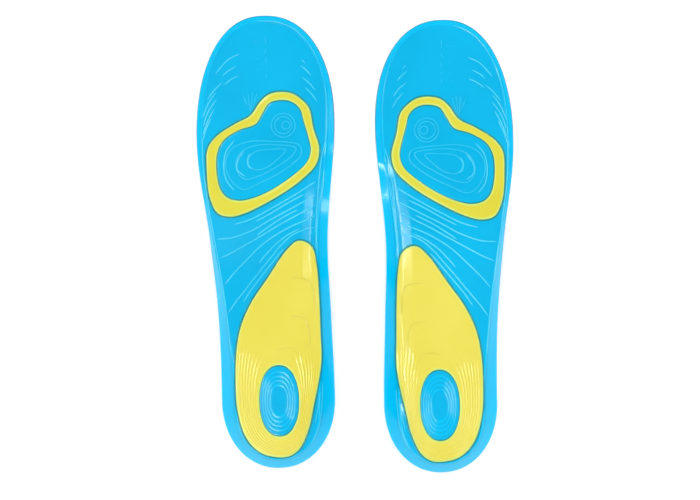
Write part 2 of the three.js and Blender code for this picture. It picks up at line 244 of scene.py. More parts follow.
# The bright outer ends of the drops on the ball's island, drawn in the painted-highlight gel.
ISLAND_ARCS = [
    [(-0.217, 0.697), (-0.261, 0.683), (-0.247, 0.667), (-0.18, 0.66)],
    [(-0.306, 0.702), (-0.401, 0.683), (-0.423, 0.661), (-0.31, 0.645)],
    [(-0.44, 0.727), (-0.57, 0.702), (-0.62, 0.666), (-0.595, 0.636), (-0.49, 0.614)],
]
# Closed lines on the ball's island: circles, as (share across, share along, radius), and drops.
ISLAND_CIRCLES = [(0.26, 0.757, 7.8), (0.26, 0.757, 5.6), (0.3, 0.757, 2.6)]
ISLAND_DROPS = [
    [(0.5, 0.712), (0.1, 0.722), (-0.25, 0.722), (-0.5, 0.705), (-0.59, 0.673), (-0.53, 0.638),
     (-0.36, 0.617), (-0.05, 0.633), (0.3, 0.66), (0.53, 0.692)],
    [(0.45, 0.706), (0.2, 0.714), (-0.1, 0.714), (-0.3, 0.705), (-0.42, 0.684), (-0.43, 0.658),
     (-0.32, 0.64), (-0.12, 0.645), (0.15, 0.664), (0.4, 0.69)],
    [(0.3, 0.703), (0.05, 0.704), (-0.14, 0.7), (-0.24, 0.686), (-0.24, 0.67), (-0.16, 0.66), (0.0, 0.663),
     (0.18, 0.682)],
]

# Width and height of each kind of raised line.
RIB_BEAD = (0.85, 0.3)
TRIM_BEAD = (0.75, 0.24)
SCALE_BEAD = (0.6, 0.2)
CREASE_BEAD = (0.6, 0.16)
HEEL_CORNER_BEAD = (0.5, 0.2)
DROP_BEAD = (0.75, 0.2)
CIRCLE_BEAD = (0.75, 0.22)
ISLAND_ARC_BEAD = (0.8, 0.28)
PAD_ARC_BEAD = (0.9, 0.2)

# The dark teal line round each inlay, painted shade of the groove there: how far outside the inlay, and its
# own size.
SEAM_OUT = 0.75
SEAM_WIDTH = 1.7
SEAM_DEPTH = 0.45
SEAM_TOP = 0.09

# How finely the pieces are drawn.
HEEL_COLUMNS = 64
SIDE_COLUMNS = 150
TOE_COLUMNS = 80
WALL_ROWS = 12
WALL_ROWS_TO = 0.78
CREASE_ROWS = 12
CREASE_ROWS_SPAN = 0.44
FACE_ROWS = 42
ROUNDING_ROWS = 5
CUP_ROWS = 8
BODY_UNDER_ROWS = 3
COVER_FACE_ROWS = 14
RING_COLUMNS = 300
PAD_COLUMNS = 320
EYE_COLUMNS = 220
ISLAND_COLUMNS = 260
EYE_ROWS = 70
BALL_ISLAND_ROWS = 30
RIPPLE_ROWS = 8
LOOP_STEP = 0.5
BEAD_SIDES = 8
BEAD_STEP = 1.2
BEAD_TIP_STEPS = 3
CIRCLE_STEPS = 16

RIGHT, LEFT = "right", "left"
WELD = 1e-4
TINY = 1e-9


# ---- The sole's shape ----------------------------------------------------------------------------

def clamp(value, low=0.0, high=1.0):
    return min(max(value, low), high)


def mix(a, b, share):
    return a + (b - a) * share


def ease(share):
    """0 to 1 with level ends."""
    t = clamp(share)
    return t * t * t * (t * (6 * t - 15) + 10)


def bow(share, squareness):
    """How wide a superellipse is, over its full width, at a share of its half length."""
    return max(0.0, 1 - share ** squareness) ** (1 / squareness)


def through(pairs, station):
    """The value at a station on a smooth curve through (station, value) pairs, level at both ends."""
    last = len(pairs) - 1
    at = clamp(station, pairs[0][0], pairs[last][0])

    def slope(i):
        if i in (0, last):
            return 0.0
        return (pairs[i + 1][1] - pairs[i - 1][1]) / (pairs[i + 1][0] - pairs[i - 1][0])

    nxt = max(1, next(i for i, pair in enumerate(pairs) if pair[0] >= at))
    (start, low), (end, high) = pairs[nxt - 1], pairs[nxt]
    run = end - start
    t = (at - start) / run
    leave = t * (1 - t) ** 2 * run * slope(nxt - 1)
    arrive = t * t * (t - 1) * run * slope(nxt)
    return low + (high - low) * t * t * (3 - 2 * t) + leave + arrive


def sole_edge(side, y):
    """x of the sole's edge at y. The side is -1 for the outer edge and 1 for the inner."""
    ball_at = OUTER_BALL_AT if side < 0 else INNER_BALL_AT
    if y < HEEL_ROUND:
        return side * HEEL_WIDTH / 2 * bow(1 - y / HEEL_ROUND, HEEL_SQUARENESS)
    if y > ball_at:
        share = (y - ball_at) / (SOLE_LENGTH - ball_at)
        return BALL_SWING + side * BALL_WIDTH / 2 * bow(share, TOE_SQUARENESS)
    stations = [
        (HEEL_ROUND, side * HEEL_WIDTH / 2),
        (SHANK_AT, SHANK_SWING + side * SHANK_WIDTH / 2),
        (WAIST_AT, WAIST_SWING + side * WAIST_WIDTH / 2),
        (ball_at, BALL_SWING + side * BALL_WIDTH / 2),
    ]
    return through(stations, y)


def in_sole(across, along):
    """A point given as shares across and along the sole."""
    y = along * SOLE_LENGTH
    outer, inner = sole_edge(-1, y), sole_edge(1, y)
    return Vector(((outer + inner) / 2 + across * (inner - outer) / 2, y))


def crease_inset(side, y):
    stations = [
        (0, CREASE_AT_BACK),
        (HEEL_ROUND, CREASE_AT_HEEL),
        (SHANK_AT, CREASE_AT_OUTER_SHANK if side < 0 else CREASE_AT_INNER_SHANK),
        (WAIST_AT, CREASE_AT_OUTER_WAIST if side < 0 else CREASE_AT_INNER_WAIST),
        (INNER_BALL_AT, CREASE_AT_OUTER_BALL if side < 0 else CREASE_AT_INNER_BALL),
        (SOLE_LENGTH, CREASE_AT_TOE),
    ]
    return through(stations, y)


def gel_thickness(y):
    stations = [
        (HEEL_LEVEL_TO, GEL_AT_HEEL),
        (WAIST_AT, GEL_AT_WAIST),
        (FOREFOOT_LEVEL_FROM, GEL_AT_BALL),
        (SOLE_LENGTH, GEL_AT_TOE),
    ]
    return through(stations, y)


def foot_side(y):
    """Height of the gel's foot side inside the rim."""
    sunk = 1 - ease((y - HEEL_LEVEL_TO) / (FOREFOOT_LEVEL_FROM - HEEL_LEVEL_TO))
    return COVER_THICKNESS + BOND_GAP + CUP_DEPTH * sunk


def flank_share(y):
    """How much of the flank's full fall there is along the sole."""
    return ease((y - FLANK_FROM) / FLANK_DEEPENS_OVER) * ease((FLANK_TO - y) / FLANK_DIES_OVER)


def gel_face(x, y):
    """Height of the gel side at a point inside the crease."""
    crease_x = sole_edge(1, y) - crease_inset(1, y)
    run = clamp(x - crease_x + FLANK_WIDTH, 0.0, FLANK_WIDTH)
    fall = min(run, FLANK_SHELF) * FLANK_SLOPE + max(0.0, run - FLANK_SHELF) * FLANK_STEEP
    return foot_side(y) + gel_thickness(y) - fall * flank_share(y)


def edge_foot(y):
    """Height of the gel's foot side at the very edge."""
    share = clamp((y - LIFTED_FROM) / (LIFTED_TO - LIFTED_FROM))
    return COVER_THICKNESS + BOND_GAP + WAIST_LIFT * math.sin(math.pi * share) ** 2


def wall_share(run):
    """0 at the edge and 1 on the face, with a rounded crease between."""
    past = run - 1 + CREASE_ROUNDING
    if past <= 0:
        return max(0.0, run)
    return 1.0 if past >= 2 * CREASE_ROUNDING else run - past ** 2 / (4 * CREASE_ROUNDING)


def sole_columns():
    """(edge point, spine point, crease inset) anticlockwise round the sole, from the heel's back."""
    heel_foot = Vector((0, HEEL_ROUND))
    toe_foot = Vector((BALL_SWING, (OUTER_BALL_AT + INNER_BALL_AT) / 2))

    def half(side):
        ball_at = OUTER_BALL_AT if side < 0 else INNER_BALL_AT
        made = []

        def add(y, foot):
            made.append((Vector((sole_edge(side, y), y)), foot, crease_inset(side, y)))

        for i in range(HEEL_COLUMNS):
            angle = math.pi / 2 * i / HEEL_COLUMNS
            add(HEEL_ROUND * (1 - math.cos(angle) ** (2 / HEEL_SQUARENESS)), heel_foot)
        for i in range(SIDE_COLUMNS + 1):
            share = i / SIDE_COLUMNS
            add(mix(HEEL_ROUND, ball_at, share), heel_foot.lerp(toe_foot, share))
        for i in range(1, TOE_COLUMNS + 1):
            angle = math.pi / 2 * i / TOE_COLUMNS
            add(mix(ball_at, SOLE_LENGTH, math.sin(angle) ** (2 / TOE_SQUARENESS)), toe_foot)
        return made

    return half(1) + half(-1)[1:-1][::-1]


COLUMNS = sole_columns()


def inwards(column, distance):
    """The point of a column a distance in from the edge."""
    edge, foot, _ = column
    return edge + (foot - edge).normalized() * distance


def at_height(point, z):
    return Vector((point.x, point.y, z))


def on_gel(point, lift):
    """The point at a height over the gel side."""
    return at_height(point, gel_face(point.x, point.y) + lift)


def crease_ridge(inset, crease):
    """Height of the fine ridge along the crease, at a distance in from the edge."""
    return CREASE_RIDGE * math.exp(-((inset - crease) / CREASE_RIDGE_WIDTH) ** 2)


def gel_skin(point):
    """Height of the gel side at any point, on the rim's wall as well."""
    beside = []
    for edge, foot, crease in COLUMNS:
        reach, away = foot - edge, point - edge
        run = reach.dot(away) / reach.length
        if 0 <= run <= reach.length:
            beside.append((abs(reach.cross(away)) / reach.length, run, crease, edge_foot(edge.y)))
    face = gel_face(point.x, point.y)
    if len(beside) < 2:
        return face
    near, other = sorted(beside)[:2]
    share = near[0] / max(near[0] + other[0], TINY)
    run, crease, foot = [mix(one, two, share) for one, two in zip(near[1:], other[1:])]
    foot += EDGE_THICKNESS
    return foot + (face - foot) * wall_share(run / crease) + crease_ridge(run, crease)


# ---- Loops ---------------------------------------------------------------------------------------

def curve_through(knots, closed, step):
    """Points about a step apart on a smooth curve through the knots."""
    count = len(knots)
    points = []
    for i in range(count if closed else count - 1):
        if closed:
            before, a, b, after = (knots[(i + k) % count] for k in (-1, 0, 1, 2))
        else:
            before, a, b, after = (knots[int(clamp(i + k, 0, count - 1))] for k in (-1, 0, 1, 2))
        steps = max(2, round((b - a).length / step))
        leave, arrive = knot_slopes(before, a, b, after)
        for j in range(steps):
            t = j / steps
            points.append(
                a * (2 * t ** 3 - 3 * t ** 2 + 1) + leave * (t ** 3 - 2 * t ** 2 + t)
                + b * (3 * t ** 2 - 2 * t ** 3) + arrive * (t ** 3 - t ** 2)
            )
    if not closed:
        points.append(knots[-1].copy())
    return points


def knot_slopes(before, a, b, after):
    """The curve's slopes at a and b, for the stretch between them, with knots a root of distance apart."""
    d0 = max(TINY, (a - before).length ** 0.5)
    d1 = max(TINY, (b - a).length ** 0.5)
    d2 = max(TINY, (after - b).length ** 0.5)
    if (a - before).length < TINY:
        leave = b - a
    else:
        leave = ((a - before) / d0 - (b - before) / (d0 + d1) + (b - a) / d1) * d1
    if (after - b).length < TINY:
        arrive = b - a
    else:
        arrive = ((b - a) / d1 - (after - a) / (d1 + d2) + (after - b) / d2) * d1
    return leave, arrive


def evenly(points, count):
    """As many points evenly spaced round a closed line through the points, from the first one."""
    line = points + [points[0]]
    reach = [0.0]
    for a, b in zip(line, line[1:]):
        reach.append(reach[-1] + (b - a).length)
    spaced, k = [], 0
    for i in range(count):
        wanted = reach[-1] * i / count
        while k < len(line) - 2 and reach[k + 1] < wanted:
            k += 1
        share = (wanted - reach[k]) / max(TINY, reach[k + 1] - reach[k])
        spaced.append(line[k].lerp(line[k + 1], clamp(share)))
    return spaced


def smooth_loop(shares, count):
    """An even closed loop through points given as shares of the sole, anticlockwise."""
    points = evenly(curve_through([in_sole(*share) for share in shares], True, LOOP_STEP), count)
    area = sum(a.x * b.y - a.y * b.x for a, b in zip(points, points[1:] + points[:1]))
    return points if area > 0 else [points[0]] + points[:0:-1]


def grown(loop, distance):
    """The loop moved outwards by a distance."""
    moved = []
    for i, point in enumerate(loop):
        along = (loop[(i + 1) % len(loop)] - loop[i - 1]).normalized()
        moved.append(point + Vector((along.y, -along.x)) * distance)
    return moved


def eye_loop(around):
    """The heel island's edge, one point in the direction of each point of the loop round it."""
    middle = Vector((EYE_SWING, EYE_AT))
    points = []
    for point in around:
        ray = (point - middle).normalized()
        wide = abs(ray.x) / (EYE_WIDTH / 2)
        long = abs(ray.y) / (EYE_LENGTH / 2)
        reach = (wide ** EYE_SQUARENESS + long ** EYE_SQUARENESS) ** (-1 / EYE_SQUARENESS)
        points.append(middle + ray * reach)
    return points


# ---- Meshes --------------------------------------------------------------------------------------

def skin(bm, rows, wraps=False, painted_light=None):
    """A surface over rows of points, each a closed loop of as many, with how much painted light shows at each
    row: light through thin gel, and painted highlights.
    """
    # A mesh attribute for where light is painted into the gel's colour.
    painted_light_share = bm.verts.layers.float.get("painted_light") or bm.verts.layers.float.new("painted_light")
    around, down = len(rows[0]), len(rows) - (0 if wraps else 1)
    made = bmesh.ops.create_grid(bm, x_segments=around, y_segments=down, size=0.5)["verts"]
    for vert in made:
        i = round((vert.co.x + 0.5) * around) % around
        j = round((vert.co.y + 0.5) * down) % len(rows)
        vert.co = rows[j][i]
        vert[painted_light_share] = painted_light[j] if painted_light else 0.0


def closed_up(bm):
    """Welds the seams and poles, and turns the faces outwards."""
    bmesh.ops.remove_doubles(bm, verts=bm.verts, dist=WELD)
    bmesh.ops.dissolve_degenerate(bm, edges=bm.edges, dist=WELD)
    bmesh.ops.recalc_face_normals(bm, faces=bm.faces)
    return bm


def edges_painted_light(profile):
    """Painted light on an inlay's edge, its shoulders: the gel is thin there, and the lighter colour is
    painted light coming through it.
    """
    shoulder = len(INLAY_SHOULDER) + 1
    return [1.0 if k < shoulder or k >= len(profile) - shoulder else 0.0 for k in range(len(profile))]


def band_rows(inner, outer, profile):
    """Rows over a band between two loops, through (share across, height over the gel side) pairs. A share is
    a number, or a pair: a share and a distance in millimetres to add to it."""
    rows = []
    for across, lift in profile:
        row = []
        for a, b in zip(inner, outer):
            share = clamp(across if isinstance(across, float) else across[0] + across[1] / (b - a).length)
            row.append(on_gel(a.lerp(b, share), lift))
        rows.append(row)
    return rows


def inlay_profile(depth, crown):
    """A closed cross-section: up the inner side, over the crown's pairs, and down the outer side."""
    up = [((0, 0), -depth)] + [((0, distance), lift) for distance, lift in INLAY_SHOULDER]
    down = [((1, -distance), lift) for distance, lift in INLAY_SHOULDER[::-1]] + [((1, 0), -depth)]
    level = INLAY_SHOULDER[-1][0] + SHOULDER_FADE
    return up + [((0, level), INLAY_PROUD)] + crown + [((1, -level), INLAY_PROUD)] + down


def ring_rows():
    outer = smooth_loop(RING_OUTER_EDGE, RING_COLUMNS)
    inner = smooth_loop(RING_INNER_EDGE, RING_COLUMNS)
    crown = [(share, INLAY_PROUD + RING_CROWN * math.sin(math.pi * share)) for share in RING_CROWN_SHARES]
    profile = inlay_profile(RING_DEPTH, crown)
    return band_rows(inner, outer, profile), edges_painted_light(profile)


def pad_rows():
    outer = smooth_loop(PAD_EDGE, PAD_COLUMNS)
    inner = eye_loop(outer)
    steps = PAD_RIPPLES * RIPPLE_ROWS
    crown = []
    for i in range(steps + 1):
        share = i / steps
        wave = math.sin(math.pi * PAD_RIPPLES * share) ** 2
        fade = ease(share / RIPPLE_EDGE) * ease((1 - share) / RIPPLE_EDGE)
        across = mix(RIPPLES_START, RIPPLES_END, share)
        crown.append((across, INLAY_PROUD + RIPPLE_HEIGHT * wave ** 3 * fade))
    profile = inlay_profile(PAD_DEPTH, crown)
    rows = band_rows(inner, outer, profile)
    settle_ripples(rows, profile)
    return rows, edges_painted_light(profile)


def settle_ripples(rows, profile):
    """Fades the pad's ripples out towards its tip."""
    for row, (_, lift) in zip(rows, profile):
        if lift > INLAY_PROUD:
            for point in row:
                point.z -= (lift - INLAY_PROUD) * ease((point.y - RIPPLES_TO) / RIPPLE_FADE)


def island_rows(loop, middle, crown, depth):
    """A closed puck: its floor, its side and its top over (share out from the middle, height) pairs."""
    centre = Vector(middle)

    def row(share, lift):
        return [on_gel(centre.lerp(point, share), lift) for point in loop]

    floor = [row(share, -depth) for share in (0.0, 0.5, 1.0)]
    return floor + [row(share, lift) for share, lift in ISLAND_SHOULDER + crown[::-1]]


def heel_island_rows():
    edge = grown(eye_loop(smooth_loop(PAD_EDGE, EYE_COLUMNS)), -POCKET_GAP)
    crown, crest_highlights = [], []
    for i in range(EYE_ROWS + 1):
        share = i / EYE_ROWS
        crest = max(math.exp(-((share - oval) / OVAL_WIDTH) ** 2) for oval in EYE_OVALS)
        crown.append((ISLAND_TOP_SHARE * share, ISLAND_PROUD + OVAL_HEIGHT * crest))
        # Each oval's crest takes a painted highlight.
        crest_highlights.append(OVAL_HIGHLIGHT * crest)
    rows = island_rows(edge, (EYE_SWING, EYE_AT), crown, PAD_DEPTH)
    return rows, [0.0] * (len(rows) - len(crest_highlights)) + crest_highlights[::-1]


def ball_island_rows():
    edge = grown(smooth_loop(RING_INNER_EDGE, ISLAND_COLUMNS), -POCKET_GAP)
    crown = [(ISLAND_TOP_SHARE * i / BALL_ISLAND_ROWS, ISLAND_PROUD) for i in range(BALL_ISLAND_ROWS + 1)]
    return island_rows(edge, BALL_ISLAND_MIDDLE, crown, RING_DEPTH)


def pocket_rows(loop, middle, depth):
    """The cut for a pocket: a puck with flared sides at the face."""
    centre = Vector(middle)

    def row(share, margin, lift):
        return [on_gel(centre.lerp(point, share), lift) for point in grown(loop, margin)]

    floor = [row(share, POCKET_GAP, -depth) for share in (0.0, 0.5, 1.0)]
    side = [row(1.0, POCKET_GAP, -POCKET_FLARE), row(1.0, POCKET_GAP + POCKET_FLARE, POCKET_LIP)]
    top = [row(share, POCKET_GAP + POCKET_FLARE, POCKET_OVERRUN) for share in (1.0, 0.5, 0.0)]
    return floor + side + top


def wall_row(share):
    """The rim's wall at a share of the way from the edge to the crease."""
    row = []
    for column in COLUMNS:
        edge, _, crease = column
        inset = crease * share
        point = inwards(column, inset)
        foot = edge_foot(edge.y) + EDGE_THICKNESS
        z = foot + (gel_face(point.x, point.y) - foot) * wall_share(share) + crease_ridge(inset, crease)
        row.append(at_height(point, z))
    return row


def rounding_row(angle):
    """One row of the rounded top edge, at an angle from 0 on top to a right angle at the side."""
    inset, drop = EDGE_ROUND * (1 - math.sin(angle)), EDGE_ROUND * (1 - math.cos(angle))
    row = []
    for column in COLUMNS:
        edge, _, crease = column
        foot = edge_foot(edge.y) + EDGE_THICKNESS
        point = inwards(column, inset)
        rise = (gel_face(point.x, point.y) - foot) * (inset / crease)
        row.append(at_height(point, foot + rise - drop))
    return row


def rim_top_rows():
    """Rows of the gel side from the spine outwards, down the rim's wall and round its edge."""
    shares = [i / WALL_ROWS * WALL_ROWS_TO for i in range(1, WALL_ROWS + 1)]
    shares += [WALL_ROWS_TO + (i + 1) / CREASE_ROWS * CREASE_ROWS_SPAN for i in range(CREASE_ROWS)]
    walls = [wall_row(share) for share in shares]
    starts = [point.to_2d() for point in walls[-1]]
    feet = [foot for _, foot, _ in COLUMNS]
    face = []
    for i in range(1, FACE_ROWS + 1):
        face.append([on_gel(start.lerp(foot, i / FACE_ROWS), 0.0) for start, foot in zip(starts, feet)])
    rounding = [rounding_row(math.pi / 2 * i / (ROUNDING_ROWS - 1)) for i in range(ROUNDING_ROWS)]
    # Painted light for each row: none on the face, the wall's light through thin gel and crease highlight,
    # and full on the rounded edge.
    painted_light = [0.0] * FACE_ROWS + [wall_painted_light(share) for share in shares[::-1]] + [1.0] * ROUNDING_ROWS
    return face[::-1] + walls[::-1] + rounding, painted_light


def wall_painted_light(share):
    """How much painted light shows on the rim's wall at a share of the way up it: light coming through the
    thin gel, and a painted highlight line at the crease.
    """
    if share < LIGHT_THROUGH_WALL_TO:
        return mix(LIGHT_THROUGH_AT_EDGE, LIGHT_THROUGH_UP_WALL, share)
    return 1 - ease(abs(share - 1) / CREASE_HIGHLIGHT_WIDTH)


def cover_overhang(y):
    """How far the cover stands out from under the gel: round the toes only, and short of its edge behind."""
    share = (y - WAIST_AT) / (SOLE_LENGTH - WAIST_AT)
    return mix(-COVER_SHORT_AT_HEEL, COVER_OUT_AT_TOE, ease(share * COVER_WIDENS_AT))


def foot_side_rows(drop, face_rows, overhang=None):
    """Rows of the foot side, a drop below the gel's, from the edge to the spine."""
    first = []
    for column in COLUMNS:
        y = column[0].y
        out = overhang(y) if overhang else 0.0
        first.append(at_height(inwards(column, -out), edge_foot(y) - drop))
    rows = [first]
    for i in range(CUP_ROWS + 1):
        share = i / CUP_ROWS * (1 + CREASE_ROUNDING)
        row = []
        for column in COLUMNS:
            edge, _, crease = column
            point = inwards(column, LIP_WIDTH + crease * CUP_SPREAD * share)
            low = edge_foot(edge.y)
            row.append(at_height(point, low + (foot_side(edge.y) - low) * wall_share(share) - drop))
        rows.append(row)
    last = rows[-1]
    for i in range(1, face_rows + 1):
        row = []
        for start, (_, foot, _) in zip(last, COLUMNS):
            point = start.to_2d().lerp(foot, i / face_rows)
            row.append(at_height(point, foot_side(point.y) - drop))
        rows.append(row)
    return rows


def bead(bm, path, width, height, closed, lift):
    """A fine raised line on the gel side, round in section and half sunk, with tapered ends if it is open."""
    rows = []
    count = len(path)
    for i, point in enumerate(path):
        ahead = path[(i + 1) % count] if closed or i + 1 < count else point
        behind = path[i - 1] if closed or i > 0 else point
        along = (ahead - behind).normalized()
        across = Vector((-along.y, along.x))
        end = 1.0 if closed else min(1.0, min(i, count - 1 - i) / BEAD_TIP_STEPS) ** 0.5
        reach = across * (width / 2 * end)
        left, middle, right = [gel_skin(point + reach * way) + lift for way in (-1, 0, 1)]
        row = []
        for k in range(BEAD_SIDES):
            angle = 2 * math.pi * k / BEAD_SIDES
            way = math.cos(angle)
            base = mix(middle, right if way > 0 else left, abs(way))
            row.append(at_height(point + reach * way, base + math.sin(angle) * height * end))
        rows.append(row)
    skin(bm, rows, wraps=closed)


def add_lines(bm, lines, size, closed=False, lift=0.0):
    """Raised lines of one size through each list of knots."""
    for knots in lines:
        path = curve_through([in_sole(*share) for share in knots], closed, BEAD_STEP)
        bead(bm, path, *size, closed, lift)


def add_circles(bm, circles, size, lift):
    for across, along, radius in circles:
        centre = in_sole(across, along)
        steps = max(CIRCLE_STEPS, round(2 * math.pi * radius / BEAD_STEP))
        turns = [2 * math.pi * k / steps for k in range(steps)]
        path = [centre + Vector((math.cos(turn), math.sin(turn))) * radius for turn in turns]
        bead(bm, path, *size, True, lift)


def line_piece(lines, size, lift=0.0):
    bm = bmesh.new()
    add_lines(bm, lines, size, lift=lift)
    return closed_up(bm)


def toe_mark_lines():
    bm = bmesh.new()
    add_lines(bm, TRIM_MARKS, TRIM_BEAD)
    add_lines(bm, HEEL_CORNER_LINES, HEEL_CORNER_BEAD)
    return closed_up(bm)


def island_loops():
    bm = bmesh.new()
    add_lines(bm, ISLAND_DROPS, DROP_BEAD, True, ISLAND_PROUD)
    add_circles(bm, ISLAND_CIRCLES, CIRCLE_BEAD, ISLAND_PROUD)
    return closed_up(bm)


def seam_shade_lines():
    """The fine dark line where each inlay meets the body: painted shade of the groove between them."""
    ring_out = smooth_loop(RING_OUTER_EDGE, RING_COLUMNS)
    ring_in = smooth_loop(RING_INNER_EDGE, RING_COLUMNS)
    pad_out = smooth_loop(PAD_EDGE, PAD_COLUMNS)
    pad_in = eye_loop(pad_out)
    bm = bmesh.new()
    for loop, out in ((ring_out, 1), (ring_in, -1), (pad_out, 1), (pad_in, -1)):
        bead(bm, grown(loop, out * SEAM_OUT), SEAM_WIDTH, SEAM_DEPTH, True, -SEAM_DEPTH + SEAM_TOP)
    return closed_up(bm)


def from_rows(rows, wraps=False, painted_light=None):
    bm = bmesh.new()
    skin(bm, rows, wraps, painted_light)
    return closed_up(bm)


def mesh_of(bm, name):
    mesh = bpy.data.meshes.new(name)
    bm.to_mesh(mesh)
    bm.free()
    return mesh


def body_with_pockets():
    """The gel body with its pockets cut, as a bmesh in the insole's own frame."""
    top, painted_light = rim_top_rows()
    under = foot_side_rows(0.0, BODY_UNDER_ROWS)
    # The body's underside rows take the full painted light.
    blank = from_rows(top + under, painted_light=painted_light + [1.0] * len(under))
    body = bpy.data.objects.new("body_blank", mesh_of(blank, "body"))
    bpy.context.collection.objects.link(body)
    cuts = [
        pocket_rows(smooth_loop(RING_OUTER_EDGE, RING_COLUMNS), BALL_ISLAND_MIDDLE, RING_DEPTH + POCKET_GAP),
        pocket_rows(smooth_loop(PAD_EDGE, PAD_COLUMNS), (EYE_SWING, EYE_AT), PAD_DEPTH + POCKET_GAP),
    ]
    cutters = []
    for rows in cuts:
        cutter = bpy.data.objects.new("pocket_cut", mesh_of(from_rows(rows), "pocket_cut"))
        bpy.context.collection.objects.link(cutter)
        cutters.append(cutter)
        cut = body.modifiers.new("pocket", "BOOLEAN")
        cut.operation = "DIFFERENCE"
        cut.solver = "MANIFOLD"
        cut.object = cutter
    bpy.context.view_layer.update()
    shown = body.evaluated_get(bpy.context.evaluated_depsgraph_get())
    bm = bmesh.new()
    bm.from_mesh(shown.to_mesh())
    shown.to_mesh_clear()
    for used in [body] + cutters:
        mesh = used.data
        bpy.data.objects.remove(used)
        bpy.data.meshes.remove(mesh)
    return bm


def outline_box(side):
    """The middle of the turned outline's box, for an insole with its inner side towards side times +X."""
    turned = [Matrix.Rotation(TURN, 2) @ Vector((-side * edge.x, edge.y)) for edge, _, _ in COLUMNS]
    xs, ys = [p.x for p in turned], [p.y for p in turned]
    return Vector(((min(xs) + max(xs)) / 2, (min(ys) + max(ys)) / 2))


def foot_place(foot):
    """The matrix from the insole's own frame, in millimetres, to where that foot's insole lies, in metres."""
    side = -1 if foot == RIGHT else 1
    low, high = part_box(f"{foot}_gel_body")
    lies = Vector(((low[0] + high[0]) / 2, (low[1] + high[1]) / 2))
    shift = lies - outline_box(side) * MM
    scale = Matrix.Diagonal((-side * MM, MM, MM, 1))
    return Matrix.Translation((shift.x, shift.y, 0)) @ Matrix.Rotation(TURN, 4, "Z") @ scale


def lay_out(name, bm, material, replaced=None, sharp=50):
    """Both feet's copies of a piece, finished, hung under the root body, with the part it replaces hidden.
    Edges over sharp, in degrees, stay sharp.
    """
    made = []
    for foot in (RIGHT, LEFT):
        copy = bm.copy()
        bmesh.ops.transform(copy, matrix=foot_place(foot), verts=copy.verts)
        if foot == LEFT:
            bmesh.ops.reverse_faces(copy, faces=copy.faces)
        for face in copy.faces:
            face.smooth = True
        piece = bpy.data.objects.new(f"{foot}_{name}", mesh_of(copy, f"{foot}_{name}"))
        bpy.context.collection.objects.link(piece)
        piece.data.set_sharp_from_angle(angle=math.radians(sharp))
        piece.data.materials.append(material)
        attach(piece, "root")
        if replaced:
            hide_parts(f"{foot}_{replaced}")
        made.append(piece)
    bm.free()
    return made


# ---- Finishes ------------------------------------------------------------------------------------

class Reading:
    """A shader value whose arithmetic adds Math nodes."""

    def __init__(self, finish, socket):
        self.finish, self.socket = finish, socket

    def worked(self, operation, *values):
        return self.finish.node("ShaderNodeMath", {"operation": operation}, dict(enumerate(values)))

    def __add__(self, other):
        return self.worked("ADD", self, other)

    def __sub__(self, other):
        return self.worked("SUBTRACT", self, other)

    def __mul__(self, other):
        return self.worked("MULTIPLY", self, other)

    def __truediv__(self, other):
        return self.worked("DIVIDE", self, other)

    def __rsub__(self, other):
        return self.worked("SUBTRACT", other, self)

    __radd__ = __add__
    __rmul__ = __mul__

    def sine(self):
        return self.worked("SINE", self)

    def clamped(self):
        return self.worked("MINIMUM", self.worked("MAXIMUM", self, 0.0), 1.0)

    def between(self, low, high):
        """0 below low and 1 above high."""
        return ((self - low) / (high - low)).clamped()


class Finish:
    """A material's nodes."""

    def __init__(self, name):
        self.material = bpy.data.materials.new(name)
        self.material.use_nodes = True
        self.nodes = self.material.node_tree.nodes
        self.links = self.material.node_tree.links
        self.shader = self.nodes["Principled BSDF"]

    def node(self, kind, settings, sockets, out=0):
        """One output of a new node, with its settings made first and then its sockets, by name or number."""
        node = self.nodes.new(kind)
        for key, value in settings.items():
            setattr(node, key, value)
        for key, value in sockets.items():
            self.feed(node.inputs[key], value)
        return Reading(self, node.outputs[out])

    def feed(self, socket, value):
        if isinstance(value, Reading):
            self.links.new(value.socket, socket)
        else:
            socket.default_value = value

    def place(self):
        return self.node("ShaderNodeTexCoord", {}, {}, out="Object")

    def blended(self, share, low, high):
        """A colour between two, in Mix."""
        factor, colour_a, colour_b, mixed = 0, 6, 7, 2
        sockets = {factor: share, colour_a: low, colour_b: high}
        return self.node("ShaderNodeMix", {"data_type": "RGBA"}, sockets, out=mixed)

    def noise(self, where, scale, detail=2.0, roughness=0.5):
        sockets = {"Vector": where, "Scale": scale, "Detail": detail, "Roughness": roughness}
        return self.node("ShaderNodeTexNoise", {}, sockets)

    def bump(self, height, strength, distance):
        sockets = {"Height": height, "Strength": strength, "Distance": distance}
        return self.node("ShaderNodeBump", {}, sockets)

    def set(self, **values):
        for key, value in values.items():
            self.feed(self.shader.inputs[key.replace("_", " ")], value)


def linear(seen):
    """One channel as a shader takes it, from 0 to 255 as it is seen."""
    share = seen / 255
    return share / 12.92 if share <= 0.04045 else ((share + 0.055) / 1.055) ** 2.4


def rgb(red, green, blue):
    return (linear(red), linear(green), linear(blue), 1.0)


# Noise scales, in turns per metre, how strongly the painted light shows (light through thin gel, and painted
# highlights), and the knit's spacing in metres.
GEL_CLOUDS = 22
GEL_BUBBLES = 520
GEL_BUBBLE_SWARMS = 140
GEL_ORANGE_PEEL = 900
GEL_STREAKS = 60
GEL_GLOSS_PATCHES = 35
PAINTED_LIGHT_TINT = 0.75
BUBBLE_TINT = 0.18
WALE_SPACING = 0.0011
COURSE_SPACING = 0.0008
KNIT_FLUFF = 2600
KNIT_CLOUDS = 30
FLOOR_GRAIN = 40


